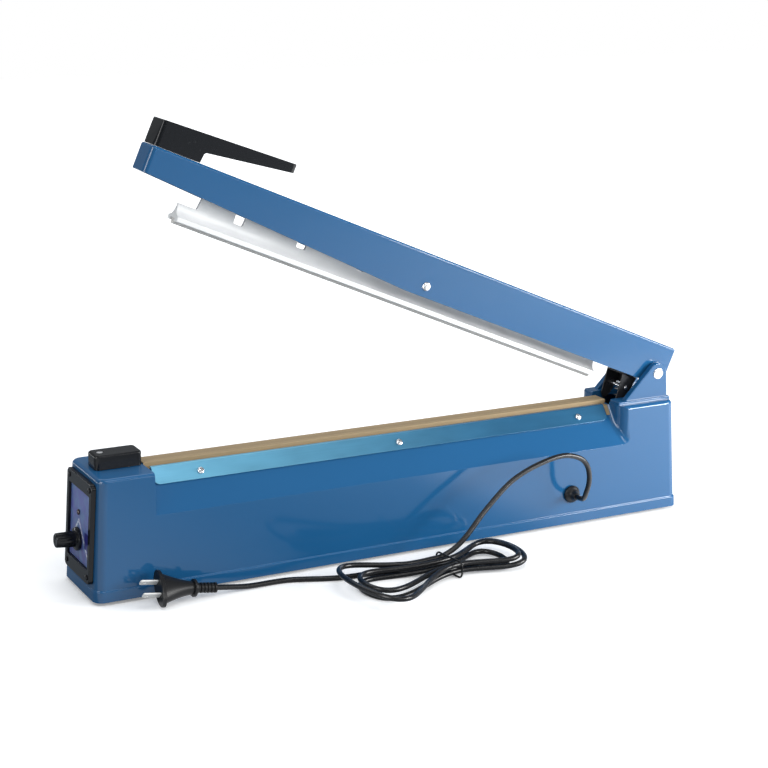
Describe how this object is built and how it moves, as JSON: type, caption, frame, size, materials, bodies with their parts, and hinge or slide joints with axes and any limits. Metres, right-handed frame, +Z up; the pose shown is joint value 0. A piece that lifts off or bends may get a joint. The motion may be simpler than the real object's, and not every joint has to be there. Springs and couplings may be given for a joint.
{
  "type": "impulse sealer",
  "caption": "Hand impulse sealer with a long spring-lifted sealing arm, timer knob and tied mains cord.",
  "frame": {"origin": "middle of the box round everything but the free cord, on the resting surface", "axes": "+X along the base from the timer panel to the hinge, -Y the long face the cord leaves, +Z up"},
  "size_m": [0.643, 0.2146, 0.4152],
  "materials": {
    "blue_plastic": "moulded, glossy",
    "black_plastic": "moulded, satin",
    "black_rubber": "matte",
    "cord_black": "satin sheath",
    "bright_steel": "bright plated",
    "black_steel": "black, satin",
    "aluminium": "extruded, brushed",
    "brass": "plain",
    "label": "printed film on a plate, no lettering",
    "lamp_red": "clear dark red",
    "board": "board with parts",
    "core_steel": "varnished laminations",
    "winding": "taped copper winding",
    "insulation": "woven glass tape",
    "heating": "resistance band",
    "release_cloth": "coated glass cloth, tan",
    "silicone": "grey-brown",
    "plunger_red": "plain"
  },
  "bodies": {
    "base": {"housing": "blue_plastic", "panel_bezel": "black_plastic", "terminal_cover": "black_plastic", "micro_switch": "black_plastic", "foot_1": "black_rubber", "foot_2": "black_rubber", "foot_3": "black_rubber", "foot_4": "black_rubber", "cord_gland": "black_rubber", "cord_tie": "black_rubber", "plug_body": "black_rubber", "cord_lead": "cord_black", "cord_hank": "cord_black", "cord_tail": "cord_black", "bottom_plate": "bright_steel", "base_screw_1": "bright_steel", "base_screw_2": "bright_steel", "base_screw_3": "bright_steel", "base_screw_4": "bright_steel", "bezel_screw_1": "bright_steel", "bezel_screw_2": "bright_steel", "bezel_screw_3": "bright_steel", "bezel_screw_4": "bright_steel", "core_screw_1": "bright_steel", "core_screw_2": "bright_steel", "cover_screw": "bright_steel", "front_clamp_plate": "bright_steel", "rear_clamp_plate": "bright_steel", "front_clamp_screw_1": "bright_steel", "front_clamp_screw_2": "bright_steel", "front_clamp_screw_3": "bright_steel", "rear_clamp_screw_1": "bright_steel", "rear_clamp_screw_2": "bright_steel", "rear_clamp_screw_3": "bright_steel", "front_plug_blade": "bright_steel", "rear_plug_blade": "bright_steel", "hinge_pin": "bright_steel", "lift_spring": "bright_steel", "mechanism_bracket": "bright_steel", "time_control": "bright_steel", "seal_bed": "aluminium", "near_terminal": "brass", "far_terminal": "brass", "panel_label": "label", "lamp_lens": "lamp_red", "timer_board": "board", "transformer_core": "core_steel", "transformer_coil": "winding", "insulation_strip": "insulation", "heating_band": "heating", "release_cloth": "release_cloth"},
    "arm": {"arm_channel": "blue_plastic", "handle": "black_plastic", "bar_pin": "bright_steel", "lift_lever": "black_steel", "lever_pin": "bright_steel"},
    "bar": {"press_bar": "aluminium", "silicone_strip": "silicone"},
    "knob": {"time_knob": "black_plastic"},
    "plunger": {"switch_plunger": "plunger_red"}
  },
  "joints": [
    {"name": "arm_hinge", "type": "hinge", "parent": "base", "child": "arm", "pos_m": [0.29619, 0, 0.14], "axis": [0, 1, 0], "range_deg": [-22.45, 0], "stiffness_Nm_per_rad": 5, "springref_deg": 51.57, "deforming": ["lift_spring"]},
    {"name": "bar_rock", "type": "hinge", "parent": "arm", "child": "bar", "pos_m": [0.03493, 0, 0.24981], "axis": [0, 1, 0], "range_deg": [-1.5, 1.5]},
    {"name": "knob_turn", "type": "hinge", "parent": "base", "child": "knob", "pos_m": [-0.30018, 0.004, 0.04866], "axis": [-0.9982, 0, 0.0599], "range_deg": [-140, 140]},
    {"name": "plunger_press", "type": "slide", "parent": "base", "child": "plunger", "axis": [0, 0, 1], "range_m": [-0.0015, 0]}
  ],
  "couplings": [
    {"joint": "bar_rock", "follows": "arm_hinge", "ratio": 0.02431},
    {"joint": "plunger_press", "follows": "arm_hinge", "m_per_rad": 0.003828}
  ]
}
